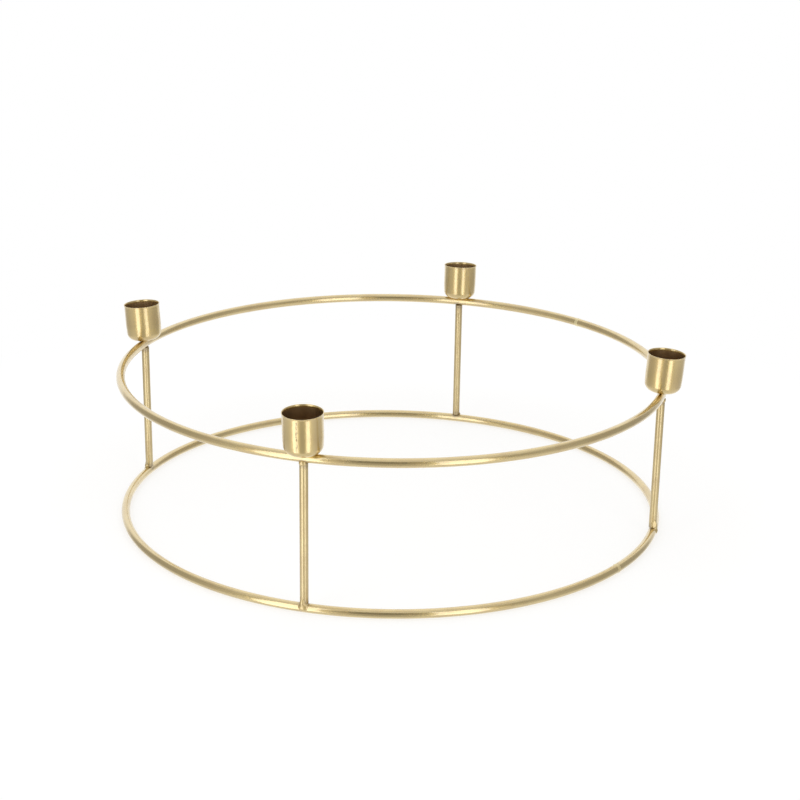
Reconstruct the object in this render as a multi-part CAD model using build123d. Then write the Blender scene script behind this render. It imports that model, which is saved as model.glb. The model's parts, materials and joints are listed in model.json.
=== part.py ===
from build123d import *
import os

# Advent candle holder: two bent wire rings held apart by four posts, with a drawn candle cup over each post.
# Millimetres and degrees, +Z up. The origin lies on the table, under the middle of the rings.

# Rings
RING_OUTSIDE_DIAMETER = 350.0
RING_WIRE_DIAMETER = 5.5
RING_SPACING = 90.5  # from the middle of one wire to the middle of the other
UPPER_SEAM_ANGLE = 57.0  # where the ends of each bent wire meet, from +X
LOWER_SEAM_ANGLE = -22.0

# Posts
POST_NAMES = ("right", "back", "left", "front")  # a quarter turn apart, starting at +X
POST_DIAMETER = 5.0
POST_EDGE_BREAK = 0.3

# Candle cups, drawn from sheet
CUP_BORE_DIAMETER = 22.0  # takes a standard dinner candle
CUP_SHEET = 0.5
CUP_HEIGHT = 24.0
CUP_GRIP_LENGTH = 13.0  # straight wall from the lip down
CUP_FLOOR_DRAW = 0.5  # how far the wall draws in, from the grip to the floor
CUP_CORNER_RADIUS = 4.8
CUP_WALL_BLEND = 30.0
CUP_LIP_HEIGHT = 1.2
CUP_LIP_FLARE = 0.3
CUP_LIP_BLEND = 2.0
CUP_LIP_ROUND_SHARE = 0.35  # of the sheet
CUP_LEAN = 3.5  # outwards, pulled over by the weld

# Welds where the ends of a ring meet
SEAM_WELD_WIDTH = 1.6
SEAM_WELD_CROWN = 0.2
SEAM_WELD_RELIEF = 0.1  # ground back from the underside of the wire

# Welds between posts and rings, on the outer side only
POST_WELD_WIDTH = 5.8
POST_WELD_HEIGHT = 7.2
POST_WELD_THICKNESS = 4.0
POST_WELD_OFFSET = 1.6  # from the post's axis outwards
POST_WELD_ROOT = 0.8  # open gap from the post's axis to the start of the weld

# Welds between cups and the upper ring
CUP_WELD_WIDTH = 6.0  # along the wire
CUP_WELD_DEPTH = 4.4  # across the wire
CUP_WELD_HEIGHT = 2.4
CUP_WELD_GAP = 0.2  # between the wire and the cup's floor

CUT_OVERRUN = 1.0

# Worked out from the sizes above
WIRE_RADIUS = RING_WIRE_DIAMETER / 2
RING_RADIUS = RING_OUTSIDE_DIAMETER / 2 - WIRE_RADIUS
LOWER_RING_HEIGHT = WIRE_RADIUS
UPPER_RING_HEIGHT = LOWER_RING_HEIGHT + RING_SPACING
POST_LENGTH = RING_SPACING - RING_WIRE_DIAMETER
POST_FOOT_HEIGHT = LOWER_RING_HEIGHT + WIRE_RADIUS
POST_TOP_HEIGHT = POST_FOOT_HEIGHT + POST_LENGTH
QUARTER_TURN = 360 / len(POST_NAMES)


def hoop(height):
    """A whole ring of round wire."""
    return Pos(0, 0, height) * Torus(RING_RADIUS, WIRE_RADIUS)


def bent_ring(height, seam_angle):
    """A wire bent into a ring, with a narrow square-cut gap where its two ends meet."""
    gap_depth = RING_WIRE_DIAMETER + CUT_OVERRUN
    gap = Pos(RING_RADIUS, 0, height) * Box(gap_depth, SEAM_WELD_WIDTH, gap_depth)
    return hoop(height) - Rot(0, 0, seam_angle) * gap


def seam_weld(height, seam_angle):
    """The weld that fills the gap between a ring's two ends, a little proud but ground back underneath."""
    half_width = SEAM_WELD_WIDTH / 2
    crown = ThreePointArc(
        (WIRE_RADIUS, -half_width),
        (WIRE_RADIUS + SEAM_WELD_CROWN, 0),
        (WIRE_RADIUS, half_width),
    )
    ends = Polyline((WIRE_RADIUS, half_width), (0, half_width), (0, -half_width), (WIRE_RADIUS, -half_width))
    barrel = revolve(make_face(crown + ends), Axis.Y)
    ground_away = Pos(0, 0, SEAM_WELD_RELIEF - WIRE_RADIUS) * Box(
        RING_WIRE_DIAMETER,
        RING_WIRE_DIAMETER,
        RING_WIRE_DIAMETER,
        align=(Align.CENTER, Align.CENTER, Align.MAX),
    )
    return Rot(0, 0, seam_angle) * Pos(RING_RADIUS, 0, height) * (barrel - ground_away)


def post():
    """A straight wire, cut square, standing on the lower ring and carrying the upper one."""
    rod = Cylinder(POST_DIAMETER / 2, POST_LENGTH, align=(Align.CENTER, Align.CENTER, Align.MIN))
    rod = chamfer(rod.edges().filter_by(GeomType.CIRCLE), POST_EDGE_BREAK)
    return Pos(RING_RADIUS, 0, POST_FOOT_HEIGHT) * rod


def ellipsoid(depth, width, height):
    """A rounded bead of weld metal."""
    return scale(Sphere(1), by=(depth / 2, width / 2, height / 2))


def post_weld(joint_height, ring_height):
    """A bead on the outer side of a joint, run onto the post and the wire, with the inner side left open."""
    bead = Pos(RING_RADIUS + POST_WELD_OFFSET, 0, joint_height)
    bead = bead * ellipsoid(POST_WELD_THICKNESS, POST_WELD_WIDTH, POST_WELD_HEIGHT)
    room = Pos(RING_RADIUS + POST_WELD_ROOT, 0, joint_height)
    room = room * Box(
        POST_WELD_OFFSET + POST_WELD_THICKNESS,
        POST_WELD_WIDTH + CUT_OVERRUN,
        POST_WELD_HEIGHT + CUT_OVERRUN,
        align=(Align.MIN, Align.CENTER, Align.CENTER),
    )
    return (bead & room) - hoop(ring_height) - post()


def on_upper_ring(shape):
    """Set a shape's floor over the upper wire, turned outwards about the wire by the cups' lean."""
    seat = Pos(0, 0, WIRE_RADIUS + CUP_WELD_GAP)
    return Pos(RING_RADIUS, 0, UPPER_RING_HEIGHT) * Rot(0, CUP_LEAN, 0) * seat * shape


def candle_cup():
    """A drawn sheet cup: flat floor, rounded corner, wall drawn in below a straight grip, flared lip."""
    wall_radius = CUP_BORE_DIAMETER / 2 + CUP_SHEET
    lip_foot = CUP_HEIGHT - CUP_LIP_HEIGHT
    outside = FilletPolyline(
        (0, 0),
        (wall_radius - CUP_FLOOR_DRAW, 0),
        (wall_radius, lip_foot - CUP_GRIP_LENGTH),
        (wall_radius, lip_foot),
        (wall_radius + CUP_LIP_FLARE, CUP_HEIGHT),
        radius=[CUP_CORNER_RADIUS, CUP_WALL_BLEND, CUP_LIP_BLEND],
    )
    sheet = make_face(offset(outside, CUP_SHEET, side=Side.LEFT))
    lip_corners = sheet.vertices().sort_by(Axis.Y)[-2:]
    sheet = fillet(lip_corners, CUP_SHEET * CUP_LIP_ROUND_SHARE)
    return on_upper_ring(revolve(Plane.XZ * sheet, Axis.Z))


def cup_weld():
    """The metal squeezed out between the wire and the flat floor of a cup."""
    bead = ellipsoid(CUP_WELD_DEPTH, CUP_WELD_WIDTH, CUP_WELD_HEIGHT)
    under_floor = Box(
        CUP_WELD_DEPTH + CUT_OVERRUN,
        CUP_WELD_WIDTH + CUT_OVERRUN,
        CUP_WELD_HEIGHT,
        align=(Align.CENTER, Align.CENTER, Align.MAX),
    )
    return on_upper_ring(bead & under_floor) - hoop(UPPER_RING_HEIGHT)


def save(name, shape):
    """Write one piece under its own name."""
    shape.label = name
    export_step(shape, f"parts/{name}.step")


os.makedirs("parts", exist_ok=True)

save("lower_ring", bent_ring(LOWER_RING_HEIGHT, LOWER_SEAM_ANGLE))
save("upper_ring", bent_ring(UPPER_RING_HEIGHT, UPPER_SEAM_ANGLE))
save("lower_ring_seam_weld", seam_weld(LOWER_RING_HEIGHT, LOWER_SEAM_ANGLE))
save("upper_ring_seam_weld", seam_weld(UPPER_RING_HEIGHT, UPPER_SEAM_ANGLE))

# Everything that stands on a ring, made at +X and turned to its place
station = {
    "post": post(),
    "post_foot_weld": post_weld(POST_FOOT_HEIGHT, LOWER_RING_HEIGHT),
    "post_top_weld": post_weld(POST_TOP_HEIGHT, UPPER_RING_HEIGHT),
    "candle_cup": candle_cup(),
    "candle_cup_weld": cup_weld(),
}
for turn, place in enumerate(POST_NAMES):
    for piece, shape in station.items():
        save(f"{place}_{piece}", Rot(0, 0, turn * QUARTER_TURN) * shape)
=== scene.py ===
import json
import math

import bmesh
import bpy
from bpy.props import FloatProperty, FloatVectorProperty, IntProperty, PointerProperty
from mathutils import Matrix, Vector


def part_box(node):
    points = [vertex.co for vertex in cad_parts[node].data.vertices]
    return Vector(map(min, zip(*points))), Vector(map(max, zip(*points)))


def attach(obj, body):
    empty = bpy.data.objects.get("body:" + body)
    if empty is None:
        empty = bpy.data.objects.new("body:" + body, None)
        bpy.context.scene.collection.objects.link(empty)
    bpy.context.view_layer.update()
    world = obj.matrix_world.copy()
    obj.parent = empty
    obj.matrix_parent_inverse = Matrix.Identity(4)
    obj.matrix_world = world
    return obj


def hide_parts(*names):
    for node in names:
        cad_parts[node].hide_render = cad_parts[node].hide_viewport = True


bl_info = {
    "name": "Advent Candle Holder",
    "version": (1, 0, 0),
    "blender": (4, 5, 0),
    "location": "View3D > Sidebar > Candle Holder",
    "description": "Builds a gold wire candle holder with drawn cups around its measured frame",
    "category": "Add Mesh",
}

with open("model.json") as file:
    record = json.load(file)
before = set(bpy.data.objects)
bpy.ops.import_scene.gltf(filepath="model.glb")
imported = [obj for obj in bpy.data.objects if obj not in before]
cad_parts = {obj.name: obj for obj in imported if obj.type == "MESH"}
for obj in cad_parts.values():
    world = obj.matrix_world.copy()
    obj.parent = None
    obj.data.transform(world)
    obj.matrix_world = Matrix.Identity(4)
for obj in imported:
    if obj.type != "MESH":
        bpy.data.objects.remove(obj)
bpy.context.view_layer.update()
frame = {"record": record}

BODY = "root"
STATIONS = ("right", "back", "left", "front")
LEVELS = ("lower", "upper")
MM = 0.001
FINE = 0.001 * MM  # for merging and cutting
CLOSE = 0.01 * MM  # for picking corners, edges and faces by their place
ROUND_PROFILE = 0.5


def node_middle(node):
    """The middle of a measured node's box."""
    low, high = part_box(node)
    return (low + high) / 2


def node_span(node):
    """The length of a measured node's box along each axis."""
    low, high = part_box(node)
    return high - low


def turn_of(node):
    """The angle of a measured node round the holder, from +X."""
    middle = node_middle(node)
    return math.atan2(middle.y, middle.x)


SOCKET = next(m for m in frame["record"]["mounts"] if m["name"] == "right_candle_socket")
CUP_LEAN = math.atan2(SOCKET["axis"][0], SOCKET["axis"][2])
RING_RADIUS = node_middle("right_post").x
WIRE_DIAMETER = node_span("lower_ring").z


class HolderSizes(bpy.types.PropertyGroup):
    """Sizes of the rings, posts and cups, read from the measured frame where it holds them."""

    ring_radius: FloatProperty(
        name="Ring radius", description="Middle of the bent wire",
        default=RING_RADIUS, unit="LENGTH")
    wire_radius: FloatProperty(
        name="Wire radius", description="Half the thickness of the ring wire",
        default=WIRE_DIAMETER / 2, unit="LENGTH")
    post_radius: FloatProperty(
        name="Post radius", description="Half the thickness of a post",
        default=node_span("right_post").x / 2, unit="LENGTH")
    post_edge: FloatProperty(
        name="Post edge", description="Rounding of the cut ends of a post",
        default=0.3 * MM, unit="LENGTH")
    cup_bore: FloatProperty(
        name="Cup bore", description="Inside radius of the straight grip of a cup",
        default=SOCKET["dims"]["r_mm"] * MM, unit="LENGTH")
    cup_sheet: FloatProperty(
        name="Cup sheet", description="Thickness of the drawn sheet",
        default=0.5 * MM, unit="LENGTH")
    cup_height: FloatProperty(
        name="Cup height", description="From the outside of the floor to the lip",
        default=24 * MM, unit="LENGTH")
    cup_grip: FloatProperty(
        name="Cup grip", description="Straight wall below the lip",
        default=13 * MM, unit="LENGTH")
    cup_draw: FloatProperty(
        name="Cup draw", description="How far the wall draws in towards the floor",
        default=0.5 * MM, unit="LENGTH")
    cup_corner: FloatProperty(
        name="Cup corner", description="Outside radius between wall and floor",
        default=4.8 * MM, unit="LENGTH")
    cup_lip_height: FloatProperty(
        name="Lip height", description="Height of the flared lip",
        default=1.2 * MM, unit="LENGTH")
    cup_lip_flare: FloatProperty(
        name="Lip flare", description="How far the lip flares outwards",
        default=0.3 * MM, unit="LENGTH")
    cup_seat: FloatProperty(
        name="Cup seat", description="Gap between the upper wire and a cup's floor",
        default=0.2 * MM, unit="LENGTH")
    wire_sides: IntProperty(name="Wire sides", description="Faces round a wire", default=32, min=8)
    ring_steps: IntProperty(name="Ring steps", description="Faces along a ring", default=384, min=32)
    cup_sides: IntProperty(name="Cup sides", description="Faces round a cup", default=128, min=16)


class FinishColours(bpy.types.PropertyGroup):
    """Colours and gloss of the lacquer."""

    gold: FloatVectorProperty(
        name="Gold", description="Colour of the lacquer on cups and welds", subtype="COLOR", size=4,
        default=(0.72, 0.53, 0.17, 1.0), min=0, max=1)
    wire_gold: FloatVectorProperty(
        name="Wire gold", description="Colour of the lacquer on rings and posts", subtype="COLOR", size=4,
        default=(0.745, 0.570, 0.228, 1.0), min=0, max=1)
    # Painted highlight: the seam's pale gold stands for the light that the ground band reflects, so it is
    # lighter than the wire
    seam_highlight_gold: FloatVectorProperty(
        name="Seam gold", description="Colour of the thin lacquer over a ring's seam",
        subtype="COLOR", size=4, default=(1.0, 0.88, 0.48, 1.0), min=0, max=1)
    deep_gold: FloatVectorProperty(
        name="Deep gold", description="Colour where the lacquer lies thick", subtype="COLOR", size=4,
        default=(0.60, 0.41, 0.14, 1.0), min=0, max=1)
    # Painted shade: this colour darkens each cup inside below the lip, where shade falls, and partly stands
    # for the thinner spray there
    inside: FloatVectorProperty(
        name="Inside", description="Thinly sprayed metal deep inside a cup", subtype="COLOR", size=4,
        default=(0.46, 0.32, 0.17, 1.0), min=0, max=1)
    # Weld stain and painted shade: this dark colour darkens the corners where posts meet the rings, where
    # shade falls, and also colours the crust of the run on the front cup
    soot_and_shade: FloatVectorProperty(
        name="Soot", description="Stain in the corners of the joints", subtype="COLOR", size=4,
        default=(0.12, 0.07, 0.03, 1.0), min=0, max=1)
    gloss: FloatProperty(
        name="Roughness", description="Base roughness of the satin lacquer", default=0.28, min=0, max=1)


class StageSettings(bpy.types.PropertyGroup):
    """Camera and floor."""

    turn: FloatProperty(
        name="Holder turn", description="How far the camera stands round from -Y",
        default=math.radians(16.2), subtype="ANGLE")
    distance: FloatProperty(
        name="Camera distance", description="Level distance from the holder's axis",
        default=1.0311, unit="LENGTH")
    height: FloatProperty(
        name="Camera height", description="Above the table", default=0.4184, unit="LENGTH")
    pitch: FloatProperty(
        name="Camera pitch", description="Downwards", default=math.radians(18.59), subtype="ANGLE")
    yaw: FloatProperty(
        name="Camera yaw", description="To the right", default=math.radians(0.28), subtype="ANGLE")
    roll: FloatProperty(
        name="Camera roll", description="About the line of sight",
        default=math.radians(-0.88), subtype="ANGLE")
    lens: FloatProperty(name="Lens", description="Focal length in millimetres", default=75.87)
    floor_colour: FloatVectorProperty(
        name="Floor", description="Colour of the floor", subtype="COLOR", size=4,
        default=(0.97, 0.97, 0.97, 1.0), min=0, max=1)


def sizes():
    """The holder's sizes in this scene."""
    return bpy.context.scene.candle_holder_sizes


def colours():
    """The lacquer's colours in this scene."""
    return bpy.context.scene.candle_holder_colours


# Modelling helpers


def clear_selection():
    """Leave edit mode and deselect everything."""
    if bpy.context.object and bpy.context.object.mode != "OBJECT":
        bpy.ops.object.mode_set(mode="OBJECT")
    bpy.ops.object.select_all(action="DESELECT")


def select_only(piece):
    """Select one piece alone and make it active."""
    clear_selection()
    piece.select_set(True)
    bpy.context.view_layer.objects.active = piece


def new_piece(name):
    """Name the primitive that was just added, and go on in edit mode with all of it selected."""
    piece = bpy.context.active_object
    piece.name = name
    piece.data.name = name
    bpy.ops.object.transform_apply(location=True, rotation=True, scale=True)
    bpy.ops.object.mode_set(mode="EDIT")
    bpy.ops.mesh.select_all(action="SELECT")
    return piece


def middle_of(element):
    """The middle of a vertex, edge or face."""
    points = [element.co] if isinstance(element, bmesh.types.BMVert) else [v.co for v in element.verts]
    return sum(points, Vector()) / len(points)


def pick(piece, kind, test):
    """Select, in edit mode, just those vertices, edges or faces whose middle passes a test."""
    bpy.ops.mesh.select_mode(type=kind)
    bpy.ops.mesh.select_all(action="DESELECT")
    shape = bmesh.from_edit_mesh(piece.data)
    elements = {"VERT": shape.verts, "EDGE": shape.edges, "FACE": shape.faces}[kind]
    for element in elements:
        if test(middle_of(element)):
            element.select_set(True)
    bmesh.update_edit_mesh(piece.data)


def close_shape(piece):
    """Merge doubles, turn all faces outwards and leave edit mode."""
    bpy.ops.mesh.select_mode(type="FACE")
    bpy.ops.mesh.select_all(action="SELECT")
    bpy.ops.mesh.remove_doubles(threshold=FINE)
    bpy.ops.mesh.normals_make_consistent(inside=False)
    bpy.ops.object.mode_set(mode="OBJECT")
    return piece


def apply_modifier(piece, kind, **settings):
    """Add one modifier with these settings and apply it."""
    bpy.context.view_layer.objects.active = piece
    modifier = piece.modifiers.new(kind.title(), kind)
    for key, value in settings.items():
        setattr(modifier, key, value)
    bpy.ops.object.modifier_apply(modifier=modifier.name)


def place(piece, matrix):
    """Move a finished shape to its place and keep that place in its mesh."""
    select_only(piece)
    piece.matrix_world = matrix
    bpy.ops.object.transform_apply(location=True, rotation=True, scale=True)


def copy_of(piece, name, turn):
    """A copy with its own mesh, turned about the holder's axis."""
    select_only(piece)
    bpy.ops.object.duplicate(linked=False)
    copy = bpy.context.active_object
    copy.name = name
    copy.data.name = name
    place(copy, Matrix.Rotation(turn, 4, "Z"))
    return copy


def dress(piece, node, material, sharp=math.radians(40)):
    """Smooth a piece, give it its lacquer and let it stand for its measured node."""
    select_only(piece)
    bpy.ops.object.shade_smooth_by_angle(angle=sharp)
    piece.data.materials.clear()
    piece.data.materials.append(material)
    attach(piece, BODY)
    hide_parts(node)


def repeat_at_posts(first, suffix, node_suffix, material):
    """Turn copies of the piece modelled at +X to every post, then dress them all."""
    pieces = {"right": first}
    for station in STATIONS[1:]:
        pieces[station] = copy_of(first, f"{station}_{suffix}", turn_of(f"{station}_post"))
    for station, piece in pieces.items():
        dress(piece, f"{station}_{node_suffix}", material)


# Rings, posts and cups

RING_HALF_GAP = 0.5 * MM  # between the seam's middle and each end of a ring
EDGE_SEGMENTS = 3
CUP_CORNER_SEGMENTS = 12
CUP_GRIP_BLEND = 1.5 * MM  # either side of the foot of the grip
CUP_LIP_STEP_SHARES = ((0.45, 0.25), (0.55, 0.75))  # of the lip's height and of its flare
CUP_RIM_TRIM = 0.2 * MM  # corners this near to the lip's top are made level
CUP_RIM_EDGE = 0.2 * MM
CUP_RIM_SEGMENTS = 4
CUP_FLOOR_NORMAL = 0.5  # least upward part of a normal on a cup's floor


def bend_ring(name, height, seam):
    """Spin a round section about the holder's axis, from one side of the seam to the other."""
    s = sizes()
    half_gap = RING_HALF_GAP / s.ring_radius
    start = seam - half_gap
    bpy.ops.mesh.primitive_circle_add(
        vertices=s.wire_sides,
        radius=s.wire_radius,
        fill_type="NGON",
        location=(s.ring_radius * math.cos(start), s.ring_radius * math.sin(start), height),
        rotation=(math.pi / 2, 0, start),
    )
    ring = new_piece(name)
    bpy.ops.mesh.spin(
        steps=s.ring_steps,
        angle=math.tau - 2 * half_gap,
        center=(0, 0, height),
        axis=(0, 0, 1),
    )
    # close the ends
    bpy.ops.mesh.select_mode(type="EDGE")
    bpy.ops.mesh.select_all(action="DESELECT")
    bpy.ops.mesh.select_non_manifold()
    bpy.ops.mesh.edge_face_add()
    return close_shape(ring)


def cut_post(name):
    """A round bar between the two rings with slightly rounded cut ends."""
    s = sizes()
    low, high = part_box("right_post")
    bpy.ops.mesh.primitive_cylinder_add(
        vertices=s.wire_sides,
        radius=s.post_radius,
        depth=high.z - low.z,
        location=(s.ring_radius, 0, (low.z + high.z) / 2),
    )
    post = new_piece(name)
    pick(post, "EDGE", lambda m: m.z < low.z + CLOSE or m.z > high.z - CLOSE)
    bpy.ops.mesh.bevel(offset=s.post_edge, segments=EDGE_SEGMENTS, profile=ROUND_PROFILE, affect="EDGES")
    return close_shape(post)


def draw_cup(name):
    """A cup drawn from sheet: flat floor, rounded corner, tapered lower wall, straight grip, flared lip."""
    s = sizes()
    wall = s.cup_bore + s.cup_sheet
    lip_foot = s.cup_height - s.cup_lip_height
    grip_foot = lip_foot - s.cup_grip
    bpy.ops.mesh.primitive_cylinder_add(
        vertices=s.cup_sides,
        radius=wall,
        depth=lip_foot,
        location=(0, 0, lip_foot / 2),
    )
    cup = new_piece(name)
    # open the top
    pick(cup, "FACE", lambda m: m.z > lip_foot - CLOSE)
    bpy.ops.mesh.delete(type="ONLY_FACE")
    # mark the foot of the straight grip
    bpy.ops.mesh.select_all(action="SELECT")
    bpy.ops.mesh.bisect(plane_co=(0, 0, grip_foot), plane_no=(0, 0, 1), threshold=FINE)
    # draw the wall in towards the floor
    pick(cup, "VERT", lambda m: m.z < CLOSE)
    drawn = 1 - s.cup_draw / wall
    bpy.ops.transform.resize(value=(drawn, drawn, 1), center_override=(0, 0, 0))
    # round the corner between wall and floor
    pick(cup, "EDGE", lambda m: m.z < CLOSE)
    bpy.ops.mesh.bevel(
        offset=s.cup_corner,
        offset_type="OFFSET",
        segments=CUP_CORNER_SEGMENTS,
        profile=ROUND_PROFILE,
        affect="EDGES",
    )
    # soften the bend at the foot of the grip
    pick(cup, "EDGE", lambda m: abs(m.z - grip_foot) < CLOSE)
    bpy.ops.mesh.bevel(offset=CUP_GRIP_BLEND, segments=EDGE_SEGMENTS, profile=ROUND_PROFILE, affect="EDGES")
    # flare the lip step by step
    top = lip_foot
    for height_share, flare_share in CUP_LIP_STEP_SHARES:
        pick(cup, "EDGE", lambda m: m.z > top - CLOSE)
        rise = height_share * s.cup_lip_height
        bpy.ops.mesh.extrude_region_move(TRANSFORM_OT_translate={"value": (0, 0, rise)})
        flare = 1 + flare_share * s.cup_lip_flare / wall
        bpy.ops.transform.resize(value=(flare, flare, 1), center_override=(0, 0, 0))
        top += rise
    close_shape(cup)
    apply_modifier(cup, "SOLIDIFY", thickness=s.cup_sheet, offset=-1, use_even_offset=True)
    bpy.ops.object.mode_set(mode="EDIT")
    # trim the rim level, then round its edges
    pick(cup, "VERT", lambda m: m.z > s.cup_height - CUP_RIM_TRIM)
    bpy.ops.transform.resize(value=(1, 1, 0), center_override=(0, 0, s.cup_height))
    pick(cup, "EDGE", lambda m: m.z > s.cup_height - CLOSE)
    bpy.ops.mesh.bevel(offset=CUP_RIM_EDGE, segments=CUP_RIM_SEGMENTS, profile=ROUND_PROFILE, affect="EDGES")
    return close_shape(cup)


def mark_inside(cup):
    """Note at every corner of the sheet whether it faces the candle."""
    inside = cup.data.attributes.new("inside", "FLOAT", "POINT")
    half_way = sizes().cup_height / 2
    for vertex in cup.data.vertices:
        faces_axis = vertex.normal.xy.dot(vertex.co.xy) < 0
        on_floor = vertex.normal.z > CUP_FLOOR_NORMAL and vertex.co.z < half_way
        inside.data[vertex.index].value = 1.0 if faces_axis or on_floor else 0.0


def cup_place():
    """Where an upright cup modelled at the origin goes on the upper ring, leaning outwards at +X."""
    s = sizes()
    on_wire = Matrix.Translation((s.ring_radius, 0, node_middle("upper_ring").z))
    seat = Matrix.Translation((0, 0, s.wire_radius + s.cup_seat))
    return on_wire @ Matrix.Rotation(CUP_LEAN, 4, "Y") @ seat


# Welds

# Lumps that melt into a bead on the outer side of a joint, as shares of the post's radius:
# the middle of each (outwards, along the wire, up the post), then its half sizes
FOOT_LUMP_SHARES = (
    ((0.60, 0.00, -0.85), (0.80, 1.36, 0.94)),
    ((0.56, -0.14, 0.35), (0.70, 0.74, 1.35)),
)
TOP_LUMP_SHARES = (
    ((0.60, 0.08, 0.05), (0.60, 0.90, 0.78)),
)
# One more lump at each foot, where the welder stopped
STOP_LUMP_SHARES = {
    "right": ((0.36, -0.68, 1.15), (0.72, 0.62, 1.25)),
    "back": ((0.42, -0.66, 0.00), (0.62, 0.58, 0.62)),
    "left": ((0.42, 0.66, 0.20), (0.62, 0.56, 0.80)),
    "front": ((0.60, 0.66, -0.20), (0.54, 0.58, 0.50)),
}
# One of these is ground to a flat: the way it faces round the post, from outwards, and how far out it lies
GROUND_STATION = "right"
GROUND_TURN = math.radians(-69)
GROUND_REACH_SHARE = 1.12

LUMP_SUBDIVISIONS = 4
BEAD_VOXEL = 0.2 * MM
BEAD_SMOOTHING = 0.5
BEAD_SMOOTHING_PASSES = 24
BEAD_SKIN_GRAIN = 2.2 * MM
BEAD_SKIN_DEPTH = 0.06 * MM

CUP_BEAD_HALF_SIZES = (2.2 * MM, 3.0 * MM, 1.2 * MM)  # across the wire, along it, up
CUP_BEAD_SEGMENTS = 48

SEAM_WIDTH = 3.2 * MM
SEAM_PROUD = 0.12 * MM
SEAM_SUNK = 0.05 * MM
SEAM_RELIEF = 0.05 * MM  # ground back from the underside of the wire
SEAM_CUT_SHARES = (-0.4, 0, 0.4)  # of half the width, where the band is cut so that only its ends sink


def lump(middle_shares, half_shares):
    """One rounded lump of weld metal for a joint at the origin, in shares of the post's radius."""
    radius = sizes().post_radius
    bpy.ops.mesh.primitive_ico_sphere_add(subdivisions=LUMP_SUBDIVISIONS, radius=1)
    blob = bpy.context.active_object
    half_sizes = Matrix.Diagonal((*[share * radius for share in half_shares], 1))
    blob.matrix_world = Matrix.Translation(Vector(middle_shares) * radius) @ half_sizes
    bpy.ops.object.transform_apply(location=True, rotation=True, scale=True)
    return blob


def grind():
    """Grind the lump that was just added to an upright flat on its outer side."""
    facing = Vector((math.cos(GROUND_TURN), math.sin(GROUND_TURN), 0))
    bpy.ops.object.mode_set(mode="EDIT")
    bpy.ops.mesh.select_all(action="SELECT")
    bpy.ops.mesh.bisect(
        plane_co=facing * GROUND_REACH_SHARE * sizes().post_radius,
        plane_no=facing,
        use_fill=True,
        clear_outer=True,
        threshold=FINE,
    )
    bpy.ops.object.mode_set(mode="OBJECT")


def run_bead(name, lumps, matrix, ground=False):
    """Melt lumps into one bead, the last one ground flat or not, and give it an uneven skin at its joint."""
    clear_selection()
    blobs = [lump(*shares) for shares in lumps]
    if ground:
        grind()
    clear_selection()
    for blob in blobs:
        blob.select_set(True)
    bead = blobs[0]
    bpy.context.view_layer.objects.active = bead
    bpy.ops.object.join()
    bead.name = name
    bead.data.name = name
    apply_modifier(bead, "REMESH", mode="VOXEL", voxel_size=BEAD_VOXEL)
    apply_modifier(bead, "SMOOTH", factor=BEAD_SMOOTHING, iterations=BEAD_SMOOTHING_PASSES)
    place(bead, matrix)
    skin = bpy.data.textures.get("weld_skin") or bpy.data.textures.new("weld_skin", "CLOUDS")
    skin.noise_scale = BEAD_SKIN_GRAIN
    apply_modifier(
        bead, "DISPLACE", texture=skin, texture_coords="GLOBAL", strength=BEAD_SKIN_DEPTH, mid_level=0.5)
    bpy.ops.object.mode_set(mode="EDIT")
    return close_shape(bead)


def weld_post(station):
    """A bead at the foot and one at the top of a post, on the outer side, by the end that each joins."""
    s = sizes()
    low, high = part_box("right_post")
    turn = Matrix.Rotation(turn_of(f"{station}_post"), 4, "Z")
    foot_place = turn @ Matrix.Translation((s.ring_radius, 0, low.z))
    top_place = turn @ Matrix.Translation((s.ring_radius, 0, high.z)) @ Matrix.Rotation(math.pi, 4, "X")
    foot_lumps = (*FOOT_LUMP_SHARES, STOP_LUMP_SHARES[station])
    return {
        "foot": run_bead(f"{station}_foot_bead", foot_lumps, foot_place, station == GROUND_STATION),
        "top": run_bead(f"{station}_top_bead", TOP_LUMP_SHARES, top_place),
    }


def weld_cup(name):
    """The metal squeezed out between the upper wire and the flat floor of a cup, modelled upright."""
    bpy.ops.mesh.primitive_uv_sphere_add(
        segments=CUP_BEAD_SEGMENTS, ring_count=CUP_BEAD_SEGMENTS // 2, radius=1)
    bpy.context.active_object.scale = CUP_BEAD_HALF_SIZES
    bead = new_piece(name)
    bpy.ops.mesh.bisect(
        plane_co=(0, 0, 0), plane_no=(0, 0, 1), use_fill=True, clear_outer=True, threshold=FINE)
    return close_shape(bead)


def weld_seam(name, node, ring_height):
    """A narrow band round the wire where the ends of a ring meet, swelling a little out of it."""
    s = sizes()
    turn = turn_of(node)
    tangent = Vector((-math.sin(turn), math.cos(turn), 0))
    centre = Vector((s.ring_radius * math.cos(turn), s.ring_radius * math.sin(turn), ring_height))
    half_width = SEAM_WIDTH / 2
    band_radius = s.wire_radius + SEAM_PROUD
    bpy.ops.mesh.primitive_cylinder_add(
        vertices=s.wire_sides * 2,
        radius=band_radius,
        depth=SEAM_WIDTH,
        location=centre,
        rotation=(math.pi / 2, 0, turn),
    )
    band = new_piece(name)
    for share in SEAM_CUT_SHARES:
        bpy.ops.mesh.select_all(action="SELECT")
        cut = centre + share * half_width * tangent
        bpy.ops.mesh.bisect(plane_co=cut, plane_no=tangent, threshold=FINE)
    # sink both ends into the wire
    shrink = (s.wire_radius - SEAM_SUNK) / band_radius
    for way in (-1, 1):
        pick(band, "VERT", lambda m: way * tangent.dot(m - centre) > half_width - CLOSE)
        end = centre + way * half_width * tangent
        bpy.ops.transform.resize(value=(shrink, shrink, shrink), center_override=end)
    # grind it back underneath
    bpy.ops.mesh.select_all(action="SELECT")
    bpy.ops.mesh.bisect(
        plane_co=(0, 0, ring_height - s.wire_radius + SEAM_RELIEF),
        plane_no=(0, 0, 1),
        use_fill=True,
        clear_inner=True,
        threshold=FINE,
    )
    return close_shape(band)


# Node helpers

WHITE = (1, 1, 1, 1)


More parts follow.
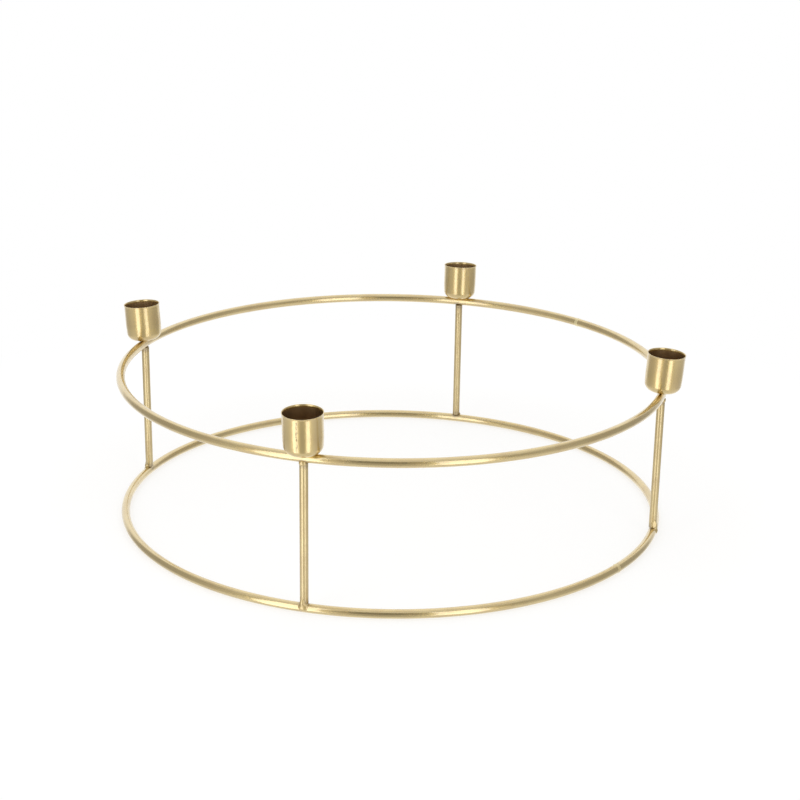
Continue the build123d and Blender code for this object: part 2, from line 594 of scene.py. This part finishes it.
def new_material(name):
    """An empty node material with a Principled shader; returns it with its tree, shader and output."""
    material = bpy.data.materials.new(name)
    material.use_nodes = True
    tree = material.node_tree
    tree.nodes.clear()
    shader = tree.nodes.new("ShaderNodeBsdfPrincipled")
    output = tree.nodes.new("ShaderNodeOutputMaterial")
    tree.links.new(shader.outputs["BSDF"], output.inputs["Surface"])
    return material, tree, shader, output


def add_node(tree, kind, inputs=None, **settings):
    """Add a node, set its settings, and feed its inputs with values or other nodes' sockets."""
    node = tree.nodes.new(kind)
    for key, value in settings.items():
        setattr(node, key, value)
    for key, value in (inputs or {}).items():
        if isinstance(value, bpy.types.NodeSocket):
            tree.links.new(value, node.inputs[key])
        else:
            node.inputs[key].default_value = value
    return node


def calc(tree, operation, first, second=0.0, third=0.0, clamp=False):
    """One Math node; returns its output."""
    inputs = {0: first, 1: second, 2: third}
    node = add_node(tree, "ShaderNodeMath", inputs, operation=operation, use_clamp=clamp)
    return node.outputs[0]


def product(tree, first, *others):
    """Several values multiplied; returns the last output."""
    for other in others:
        first = calc(tree, "MULTIPLY", first, other)
    return first


def distance(tree, along_x, along_y, along_z):
    """The length of a line from its parts along three axes."""
    line = add_node(tree, "ShaderNodeCombineXYZ", {0: along_x, 1: along_y, 2: along_z})
    node = add_node(tree, "ShaderNodeVectorMath", {0: line.outputs[0]}, operation="LENGTH")
    return node.outputs["Value"]


def fade(tree, value, low, high):
    """A smooth step from 0 at low to 1 at high."""
    node = add_node(
        tree, "ShaderNodeMapRange",
        {"Value": value, "From Min": low, "From Max": high, "To Min": 0.0, "To Max": 1.0},
        interpolation_type="SMOOTHSTEP",
    )
    return node.outputs["Result"]


def noise(tree, position, per_metre, detail, roughness=0.5):
    """Noise with so many grains in a metre, alike all ways or given for each axis; returns its value."""
    if isinstance(per_metre, tuple):
        stretched = add_node(tree, "ShaderNodeMapping", {"Vector": position, "Scale": per_metre})
        return noise(tree, stretched.outputs[0], 1.0, detail, roughness)
    inputs = {"Vector": position, "Scale": per_metre, "Detail": detail, "Roughness": roughness}
    return add_node(tree, "ShaderNodeTexNoise", inputs).outputs["Fac"]


def blend_colours(tree, share, first, second):
    """Mix two colours by a share; returns the colour."""
    node = add_node(tree, "ShaderNodeMix", {0: share, 6: first, 7: second}, data_type="RGBA")
    return node.outputs[2]


def blend_values(tree, share, first, second):
    """Mix two values by a share; returns the value."""
    node = add_node(tree, "ShaderNodeMix", {0: share, 2: first, 3: second}, data_type="FLOAT")
    return node.outputs[0]


def new_group(name, inputs, outputs):
    """A shader node group with named sockets; returns its tree, its input node and its output node."""
    tree = bpy.data.node_groups.new(name, "ShaderNodeTree")
    for sockets, way in ((inputs, "INPUT"), (outputs, "OUTPUT")):
        for socket, kind in sockets.items():
            tree.interface.new_socket(name=socket, in_out=way, socket_type=f"NodeSocket{kind}")
    return tree, tree.nodes.new("NodeGroupInput"), tree.nodes.new("NodeGroupOutput")


# Lacquer

# Sprayed surface: grains in a metre, the range that shows, and how far each changes tone, dulling and height
CLOUDS_PER_METRE = 90.0
CLOUD_RANGE = (0.35, 0.75)
CLOUD_TONE_SHARE = 0.5
CLOUD_DULLING = 0.10
PEEL_PER_METRE = 2200.0
SPECKS_PER_METRE = 420.0
SPECK_RANGE = (0.13, 0.06)
SPECK_TONE_SHARE = 0.35
SPECK_DULLING = 0.15
SPECK_HEIGHT = 0.4
WAVES_PER_METRE = 330.0
WAVE_DEPTH = 0.05 * MM
RELIEF_STRENGTH = 0.25
COAT_IOR = 2.4
COAT_ROUGHNESS = 0.15

# Weld stain and painted shade at the joints, darker in their corners: from none to full, as distances from
# the middle of the joint
STAIN_AND_SHADE_REACH = (4.6 * MM, 2.4 * MM)
STAIN_AND_SHADE_GRAINS_PER_METRE = 700.0
STAIN_AND_SHADE_DULLING = 0.3

# Streaks of drawn wire
STREAK_DULLING = 0.12
STREAK_HEIGHT = 0.8

# Painted shade inside the cups, partly a thinner spray there: from bright to dark, below the lip
INSIDE_DEPTH = (0.9 * MM, 2.0 * MM)
INSIDE_DULLING = 0.12
SHADE_AND_CRUST_COAT_LOSS = 0.85

# The run in the lacquer of the front cup: a swaying line, fading out above the floor and below the lip
RUN_EDGE = (0.8 * MM, 0.2 * MM)
RUN_OFFSET = 0.8 * MM
RUN_SWAY = 1.2 * MM
RUN_SWAYS_PER_METRE = 260.0
RUN_FOOT = (3 * MM, 6 * MM)
RUN_HEAD = (1.2 * MM, 2.5 * MM)
RUN_DULLING = 0.18
CRUST_GRAINS_PER_METRE = (1200, 1200, 500)
CRUST_RANGE = (0.50, 0.60)
CRUST_LOW_SHARES = (0.8, 0.2)  # of the cup's height, between which the crust gets thicker downwards
CRUST_LOW_GAIN = 0.06
CRUST_TONE_SHARE = 0.7
CRUST_HEIGHT = 2.5

# What sets each kind of piece apart; streaks are grains in a metre along x, y and z
LACQUERS = {
    "ring": {"gold": "wire_gold", "streaks": (60, 60, 2500), "dull": -0.05},
    "post": {"gold": "wire_gold", "streaks": (2500, 2500, 40), "dull": 0.12},
    "cup": {"gold": "gold", "inside": True},
    "weld": {"gold": "gold", "stain_and_shade_share": 0.2, "bump": 0.03 * MM, "dull": 0.12},
    # the seam's pale gold is a painted highlight
    "seam": {"gold": "seam_highlight_gold", "stain_and_shade_share": 0.0, "dull": 0.3},
}


def satin_lacquer_group():
    """Sprayed satin lacquer: cloudy colour, fine orange peel, a few specks, uneven gloss."""
    tree, start, end = new_group(
        "satin_lacquer",
        {
            "Position": "Vector",
            "Gold": "Color",
            "Deep Gold": "Color",
            "Cloud Scale": "Float",
            "Roughness": "Float",
        },
        {"Color": "Color", "Roughness": "Float", "Height": "Float"},
    )
    given = start.outputs
    clouds = noise(tree, given["Position"], given["Cloud Scale"], detail=4.0, roughness=0.6)
    peel = noise(tree, given["Position"], PEEL_PER_METRE, detail=2.0)
    dust_inputs = {"Vector": given["Position"], "Scale": SPECKS_PER_METRE, "Randomness": 1.0}
    dust = add_node(tree, "ShaderNodeTexVoronoi", dust_inputs)
    specks = fade(tree, dust.outputs["Distance"], *SPECK_RANGE)
    cloudy = fade(tree, clouds, *CLOUD_RANGE)
    colour = blend_colours(tree, product(tree, cloudy, CLOUD_TONE_SHARE), given["Gold"], given["Deep Gold"])
    colour = blend_colours(tree, product(tree, specks, SPECK_TONE_SHARE), colour, given["Deep Gold"])
    gloss = calc(tree, "MULTIPLY_ADD", cloudy, CLOUD_DULLING, given["Roughness"])
    gloss = calc(tree, "MULTIPLY_ADD", specks, SPECK_DULLING, gloss)
    height = calc(tree, "MULTIPLY_ADD", specks, SPECK_HEIGHT, peel)
    tree.links.new(colour, end.inputs["Color"])
    tree.links.new(gloss, end.inputs["Roughness"])
    tree.links.new(height, end.inputs["Height"])
    return tree


def station_group():
    """Height over the upper wire along the nearest cup, and distance from the nearest end of a post."""
    tree, start, end = new_group(
        "station_distance",
        {"Position": "Vector"},
        {"Height": "Float", "Joint": "Float"},
    )
    split = add_node(tree, "ShaderNodeSeparateXYZ", {0: start.outputs["Position"]})
    x = calc(tree, "ABSOLUTE", split.outputs["X"])
    y = calc(tree, "ABSOLUTE", split.outputs["Y"])
    z = split.outputs["Z"]
    outward = calc(tree, "SUBTRACT", calc(tree, "MAXIMUM", x, y), sizes().ring_radius)
    sideways = calc(tree, "MINIMUM", x, y)
    upward = calc(tree, "SUBTRACT", z, node_middle("upper_ring").z)
    raised = product(tree, upward, math.cos(CUP_LEAN))
    height = calc(tree, "MULTIPLY_ADD", outward, math.sin(CUP_LEAN), raised)
    low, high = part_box("right_post")
    from_foot, from_top = (calc(tree, "ABSOLUTE", calc(tree, "SUBTRACT", z, tip.z)) for tip in (low, high))
    joint = distance(tree, outward, sideways, calc(tree, "MINIMUM", from_foot, from_top))
    tree.links.new(height, end.inputs["Height"])
    tree.links.new(joint, end.inputs["Joint"])
    return tree


def joint_stain_and_shade(tree, position, station, share):
    """Weld stain and painted shade in the corners of the joints, broken up by noise."""
    near = fade(tree, station.outputs["Joint"], *STAIN_AND_SHADE_REACH)
    return product(tree, near, share, noise(tree, position, STAIN_AND_SHADE_GRAINS_PER_METRE, detail=3.0))


def run_mark(tree, position, height, within):
    """Where the lacquer ran and crusted in a narrow upright line on the outer side of the front cup."""
    s = sizes()
    floor = s.wire_radius + s.cup_seat
    lip = floor + s.cup_height
    split = add_node(tree, "ShaderNodeSeparateXYZ", {0: position})
    beside = calc(tree, "SUBTRACT", split.outputs["X"], RUN_OFFSET)
    sway = noise(tree, position, RUN_SWAYS_PER_METRE, detail=2.0)
    swayed = calc(tree, "MULTIPLY_ADD", sway, RUN_SWAY, beside)
    line = fade(tree, calc(tree, "ABSOLUTE", swayed), *RUN_EDGE)
    on_front = calc(tree, "LESS_THAN", split.outputs["Y"], -s.ring_radius)
    outside = calc(tree, "SUBTRACT", 1.0, within, clamp=True)
    over_floor = fade(tree, height, *(floor + reach for reach in RUN_FOOT))
    under_lip = fade(tree, height, *(lip - reach for reach in RUN_HEAD))
    run = product(tree, line, on_front, outside, over_floor, under_lip)
    grit = noise(tree, position, CRUST_GRAINS_PER_METRE, detail=4.0, roughness=0.7)
    low_down = fade(tree, height, *(floor + share * s.cup_height for share in CRUST_LOW_SHARES))
    grain = calc(tree, "MULTIPLY_ADD", low_down, CRUST_LOW_GAIN, grit)
    crust = product(tree, run, fade(tree, grain, *CRUST_RANGE))
    return run, crust


def cup_marks(tree, position, station):
    """How far a cup is darkened inside with painted shade, and where its lacquer ran and crusted."""
    s = sizes()
    height = station.outputs["Height"]
    within = add_node(tree, "ShaderNodeAttribute", attribute_name="inside").outputs["Fac"]
    lip = s.wire_radius + s.cup_seat + s.cup_height
    deep = fade(tree, height, *(lip - depth for depth in INSIDE_DEPTH))
    return product(tree, within, deep), *run_mark(tree, position, height, within)


def lacquer_material(
        name, groups, gold, streaks=None, inside=False, stain_and_shade_share=0.8, bump=0.02 * MM, dull=0.0):
    """Gold lacquer on metal: clouds and specks, weld stain and painted shade at the joints, and drawn
    streaks or painted shade inside a cup.
    """
    c = colours()
    material, tree, shader, _ = new_material(name)
    shader.inputs["Metallic"].default_value = 1.0
    shader.inputs["Coat Weight"].default_value = 1.0
    shader.inputs["Coat IOR"].default_value = COAT_IOR
    shader.inputs["Coat Roughness"].default_value = COAT_ROUGHNESS + dull
    position = tree.nodes.new("ShaderNodeTexCoord").outputs["Object"]
    station = add_node(tree, "ShaderNodeGroup", {"Position": position}, node_tree=groups["station"])
    spray_inputs = {
        "Position": position,
        "Gold": getattr(c, gold),
        "Deep Gold": c.deep_gold,
        "Cloud Scale": CLOUDS_PER_METRE,
        "Roughness": c.gloss + dull,
    }
    spray = add_node(tree, "ShaderNodeGroup", spray_inputs, node_tree=groups["spray"])
    # weld stain and painted shade darken the corners at the joints
    stain_and_shade = joint_stain_and_shade(tree, position, station, stain_and_shade_share)
    colour = blend_colours(tree, stain_and_shade, spray.outputs["Color"], c.soot_and_shade)
    gloss = calc(tree, "MULTIPLY_ADD", stain_and_shade, STAIN_AND_SHADE_DULLING, spray.outputs["Roughness"])
    height = spray.outputs["Height"]
    if streaks:
        drawn = noise(tree, position, streaks, detail=3.0)
        gloss = calc(tree, "SUBTRACT", gloss, STREAK_DULLING / 2)
        gloss = calc(tree, "MULTIPLY_ADD", drawn, STREAK_DULLING, gloss)
        height = calc(tree, "MULTIPLY_ADD", drawn, STREAK_HEIGHT, height)
    # painted shade inside the cup, darker below the lip, with less coat where that shade and the crust lie
    if inside:
        dark, run, crust = cup_marks(tree, position, station)
        colour = blend_colours(tree, dark, colour, c.inside)
        colour = blend_colours(tree, product(tree, crust, CRUST_TONE_SHARE), colour, c.soot_and_shade)
        gloss = calc(tree, "MULTIPLY_ADD", dark, INSIDE_DULLING, gloss)
        gloss = calc(tree, "MULTIPLY_ADD", run, RUN_DULLING, gloss)
        height = calc(tree, "MULTIPLY_ADD", crust, CRUST_HEIGHT, height)
        shade_and_crust = calc(tree, "MAXIMUM", dark, crust)
        coat = calc(tree, "MULTIPLY_ADD", shade_and_crust, -SHADE_AND_CRUST_COAT_LOSS, 1.0)
        tree.links.new(coat, shader.inputs["Coat Weight"])
    waves = noise(tree, position, WAVES_PER_METRE, detail=1.0)
    swell = add_node(tree, "ShaderNodeBump", {"Height": waves, "Strength": 1.0, "Distance": WAVE_DEPTH})
    relief_inputs = {
        "Height": height,
        "Strength": RELIEF_STRENGTH,
        "Distance": bump,
        "Normal": swell.outputs["Normal"],
    }
    relief = add_node(tree, "ShaderNodeBump", relief_inputs)
    tree.links.new(colour, shader.inputs["Base Color"])
    tree.links.new(gloss, shader.inputs["Roughness"])
    tree.links.new(relief.outputs["Normal"], shader.inputs["Normal"])
    return material


def lacquer(kind):
    """The lacquer for rings, posts, cups, welds or seams, made once."""
    name = f"gold_{kind}_lacquer"
    if name in bpy.data.materials:
        return bpy.data.materials[name]
    groups = {
        "spray": bpy.data.node_groups.get("satin_lacquer") or satin_lacquer_group(),
        "station": bpy.data.node_groups.get("station_distance") or station_group(),
    }
    return lacquer_material(name, groups, **LACQUERS[kind])


# Stage

SENSOR_WIDTH = 36.0  # millimetres
CLIP_START = 0.01

FLOOR_RADIUS = 4.0
FLOOR_SIDES = 96
FLOOR_DROP = 0.02 * MM
FLOOR_ROUGHNESS = 0.9
FLOOR_FADE = (0.2, 0.45)  # distances from the holder's axis between which the floor turns plain white
FLOOR_GLOW_SHARE = 0.55  # of the floor's look near the holder, the rest being lit and shaded
FLOOR_GLOW = 1.26  # near the holder, where 1 is white

# Round from the camera's side, out from the holder's axis, then the size of the lamp and its watts
SOFTBOXES = {
    "left": {"turn": math.radians(-36), "distance": 0.70, "width": 0.30, "height": 1.05, "power": 1.4},
    "right": {"turn": math.radians(27), "distance": 1.27, "width": 0.46, "height": 1.86, "power": 3.75},
}
LIGHT_AIM_HEIGHT = 0.1

# How bright reflections see the studio, where 1 is white
WALL_LEVEL = 0.42
SIDE_GAIN = 0.15
CAMERA_SIDE_LOSS = 0.2
BACKDROP_GAIN = 0.5
PLAIN_LEVEL = 0.8
WALL_TINT = (1, 0.98, 0.94, 1)
# Degrees at which each part of the studio starts and is whole, round from the camera's side
SIDES_FROM_BACK = (95, 60)
SIDES_FROM_CAMERA = (12, 22)
CAMERA_SIDE = (75, 45)
BEHIND_HOLDER = (125, 150)
NEAR_TABLE = (60, 15)
# The same up from level
OVER_TABLE = (-4, 6)
CEILING = (36, 60)
TABLE = (-8, -42)
NEAR_TABLE_DROP = math.radians(22)  # how much lower the table starts towards the camera


def set_camera(stage):
    """The camera at the photograph's angle, turned with the holder."""
    bpy.ops.object.camera_add()
    camera = bpy.context.active_object
    camera.name = "camera"
    forward = Vector((
        math.sin(stage.yaw) * math.cos(stage.pitch),
        math.cos(stage.yaw) * math.cos(stage.pitch),
        -math.sin(stage.pitch),
    ))
    right = Vector((math.cos(stage.yaw), -math.sin(stage.yaw), 0))
    down = forward.cross(right)
    rolled_right = right * math.cos(stage.roll) + down * math.sin(stage.roll)
    rolled_down = down * math.cos(stage.roll) - right * math.sin(stage.roll)
    aim = Matrix((rolled_right, -rolled_down, -forward)).transposed().to_4x4()
    stand = Matrix.Translation((0, -stage.distance, stage.height)) @ aim
    camera.matrix_world = Matrix.Rotation(stage.turn, 4, "Z") @ stand
    camera.data.lens = stage.lens
    camera.data.sensor_width = SENSOR_WIDTH
    camera.data.clip_start = CLIP_START
    bpy.context.scene.camera = camera


def lay_floor(stage):
    """A pale round floor that fades to plain white away from the holder and keeps its shadow."""
    bpy.ops.mesh.primitive_circle_add(
        vertices=FLOOR_SIDES, radius=FLOOR_RADIUS, fill_type="NGON", location=(0, 0, -FLOOR_DROP))
    floor = bpy.context.active_object
    floor.name = "floor"
    material, tree, shader, output = new_material("pale_floor")
    shader.inputs["Base Color"].default_value = stage.floor_colour
    shader.inputs["Roughness"].default_value = FLOOR_ROUGHNESS
    shader.inputs["Specular IOR Level"].default_value = 0.0
    position = tree.nodes.new("ShaderNodeTexCoord").outputs["Object"]
    reach = add_node(tree, "ShaderNodeVectorMath", {0: position}, operation="LENGTH")
    far = fade(tree, reach.outputs["Value"], *FLOOR_FADE)
    share = calc(tree, "MULTIPLY_ADD", far, 1 - FLOOR_GLOW_SHARE, FLOOR_GLOW_SHARE)
    strength = calc(tree, "MULTIPLY_ADD", far, 1 - FLOOR_GLOW, FLOOR_GLOW)
    glow = add_node(tree, "ShaderNodeEmission", {"Color": WHITE, "Strength": strength})
    mix = add_node(tree, "ShaderNodeMixShader", {0: share, 1: shader.outputs[0], 2: glow.outputs[0]})
    tree.links.new(mix.outputs[0], output.inputs["Surface"])
    floor.data.materials.append(material)
    floor.visible_glossy = False
    floor.visible_shadow = False


def hang_lights(stage):
    """Two tall softboxes beside the camera, the left one nearer to the holder."""
    aim = Vector((0, 0, LIGHT_AIM_HEIGHT))
    for side, box in SOFTBOXES.items():
        angle = stage.turn - math.pi / 2 + box["turn"]
        spot = aim + box["distance"] * Vector((math.cos(angle), math.sin(angle), 0))
        bpy.ops.object.light_add(type="AREA", location=spot)
        lamp = bpy.context.active_object
        lamp.name = f"softbox_{side}"
        lamp.rotation_mode = "QUATERNION"
        lamp.rotation_quaternion = (aim - spot).to_track_quat("-Z", "Y")
        lamp.data.shape = "RECTANGLE"
        lamp.data.size = box["width"]
        lamp.data.size_y = box["height"]
        lamp.data.energy = box["power"]
        lamp.visible_camera = False


def set_world(stage):
    """A white studio for the camera; reflections see it dimmer on the camera's side."""
    world = bpy.data.worlds.new("studio")
    bpy.context.scene.world = world
    world.use_nodes = True
    tree = world.node_tree
    tree.nodes.clear()
    direction = tree.nodes.new("ShaderNodeTexCoord").outputs["Generated"]
    turn_inputs = {"Vector": direction, "Angle": -stage.turn}
    turned = add_node(tree, "ShaderNodeVectorRotate", turn_inputs, rotation_type="Z_AXIS")
    split = add_node(tree, "ShaderNodeSeparateXYZ", {0: turned.outputs[0]})
    toward_camera = product(tree, split.outputs["Y"], -1.0)
    azimuth = calc(tree, "ABSOLUTE", calc(tree, "ARCTAN2", split.outputs["X"], toward_camera))
    elevation = calc(tree, "ARCSINE", split.outputs["Z"])

    def part(angle, degrees):
        """How far a direction lies in one part of the studio."""
        return fade(tree, angle, *(math.radians(edge) for edge in degrees))

    sides = product(tree, part(azimuth, SIDES_FROM_BACK), part(azimuth, SIDES_FROM_CAMERA))
    camera_side = product(tree, part(azimuth, CAMERA_SIDE), part(elevation, OVER_TABLE))
    behind_holder = part(azimuth, BEHIND_HOLDER)
    walls = calc(tree, "MULTIPLY_ADD", sides, SIDE_GAIN, WALL_LEVEL)
    walls = calc(tree, "MULTIPLY_ADD", camera_side, -CAMERA_SIDE_LOSS, walls)
    walls = calc(tree, "MULTIPLY_ADD", behind_holder, BACKDROP_GAIN, walls)
    from_table = calc(tree, "MULTIPLY_ADD", part(azimuth, NEAR_TABLE), NEAR_TABLE_DROP, elevation)
    plain = calc(tree, "MAXIMUM", part(elevation, CEILING), part(from_table, TABLE))
    level = blend_values(tree, plain, walls, PLAIN_LEVEL)
    # the camera sees white all round, and metal sees it behind the holder
    path = tree.nodes.new("ShaderNodeLightPath").outputs
    mirrored = calc(tree, "MAXIMUM", path["Is Glossy Ray"], path["Is Transmission Ray"])
    white = calc(tree, "MAXIMUM", path["Is Camera Ray"], product(tree, mirrored, behind_holder))
    strength = blend_values(tree, white, level, 1.0)
    warmth = calc(tree, "SUBTRACT", calc(tree, "SUBTRACT", 1.0, plain), white, clamp=True)
    tint = blend_colours(tree, warmth, WHITE, WALL_TINT)
    background = add_node(tree, "ShaderNodeBackground", {"Color": tint, "Strength": strength})
    output = tree.nodes.new("ShaderNodeOutputWorld")
    tree.links.new(background.outputs[0], output.inputs["Surface"])


# Operators


class BendRings(bpy.types.Operator):
    """Bend the lower and the upper ring from round wire"""

    bl_idname = "candle_holder.bend_rings"
    bl_label = "Bend Rings"

    def execute(self, context):
        for level in LEVELS:
            clear_selection()
            height = node_middle(f"{level}_ring").z
            ring = bend_ring(f"{level}_ring_wire", height, turn_of(f"{level}_ring_seam_weld"))
            dress(ring, f"{level}_ring", lacquer("ring"))
        return {"FINISHED"}


class CutPosts(bpy.types.Operator):
    """Cut the posts that hold the rings apart"""

    bl_idname = "candle_holder.cut_posts"
    bl_label = "Cut Posts"

    def execute(self, context):
        clear_selection()
        post = cut_post("right_post_wire")
        repeat_at_posts(post, "post_wire", "post", lacquer("post"))
        return {"FINISHED"}


class DrawCups(bpy.types.Operator):
    """Draw the candle cups from sheet and set them on the upper ring"""

    bl_idname = "candle_holder.draw_cups"
    bl_label = "Draw Cups"

    def execute(self, context):
        clear_selection()
        cup = draw_cup("right_cup_shell")
        mark_inside(cup)
        place(cup, cup_place())
        repeat_at_posts(cup, "cup_shell", "candle_cup", lacquer("cup"))
        return {"FINISHED"}


class WeldPosts(bpy.types.Operator):
    """Run the beads that join the posts to the rings"""

    bl_idname = "candle_holder.weld_posts"
    bl_label = "Weld Posts"

    def execute(self, context):
        for station in STATIONS:
            for end, bead in weld_post(station).items():
                dress(bead, f"{station}_post_{end}_weld", lacquer("weld"), sharp=math.pi)
        return {"FINISHED"}


class WeldCups(bpy.types.Operator):
    """Fill the joint between each cup and the upper ring"""

    bl_idname = "candle_holder.weld_cups"
    bl_label = "Weld Cups"

    def execute(self, context):
        clear_selection()
        bead = weld_cup("right_cup_bead")
        place(bead, cup_place())
        repeat_at_posts(bead, "cup_bead", "candle_cup_weld", lacquer("weld"))
        return {"FINISHED"}


class WeldSeams(bpy.types.Operator):
    """Close the two rings where their ends meet"""

    bl_idname = "candle_holder.weld_seams"
    bl_label = "Weld Seams"

    def execute(self, context):
        for level in LEVELS:
            clear_selection()
            node = f"{level}_ring_seam_weld"
            band = weld_seam(f"{level}_seam_bead", node, node_middle(f"{level}_ring").z)
            dress(band, node, lacquer("seam"), sharp=math.radians(60))
        return {"FINISHED"}


class SetStage(bpy.types.Operator):
    """Lay the floor and set the camera, the lights and the white background"""

    bl_idname = "candle_holder.set_stage"
    bl_label = "Set Stage"

    def execute(self, context):
        clear_selection()
        stage = context.scene.candle_holder_stage
        lay_floor(stage)
        hang_lights(stage)
        set_world(stage)
        set_camera(stage)
        context.scene.view_settings.view_transform = "Standard"
        return {"FINISHED"}


STEPS = (BendRings, CutPosts, DrawCups, WeldPosts, WeldCups, WeldSeams, SetStage)


class HolderPanel(bpy.types.Panel):
    """Lists the steps and the settings of the candle holder"""

    bl_idname = "VIEW3D_PT_candle_holder"
    bl_label = "Candle Holder"
    bl_space_type = "VIEW_3D"
    bl_region_type = "UI"
    bl_category = "Candle Holder"

    def draw(self, context):
        for step in STEPS:
            self.layout.operator(step.bl_idname)
        for name in GROUPS:
            box = self.layout.box()
            group = getattr(context.scene, name)
            for key in group.__annotations__:
                box.prop(group, key)


GROUPS = {
    "candle_holder_sizes": HolderSizes,
    "candle_holder_colours": FinishColours,
    "candle_holder_stage": StageSettings,
}


def register():
    """Register every class and hang the property groups on the scene."""
    for cls in (*GROUPS.values(), *STEPS, HolderPanel):
        bpy.utils.register_class(cls)
    for name, cls in GROUPS.items():
        setattr(bpy.types.Scene, name, PointerProperty(type=cls))


def unregister():
    """Take everything off again."""
    for name in GROUPS:
        delattr(bpy.types.Scene, name)
    for cls in (HolderPanel, *reversed(STEPS), *GROUPS.values()):
        bpy.utils.unregister_class(cls)


def main():
    """Build the holder step by step."""
    register()
    for step in STEPS:
        area, name = step.bl_idname.split(".")
        getattr(getattr(bpy.ops, area), name)()


if __name__ == "__main__":
    main()
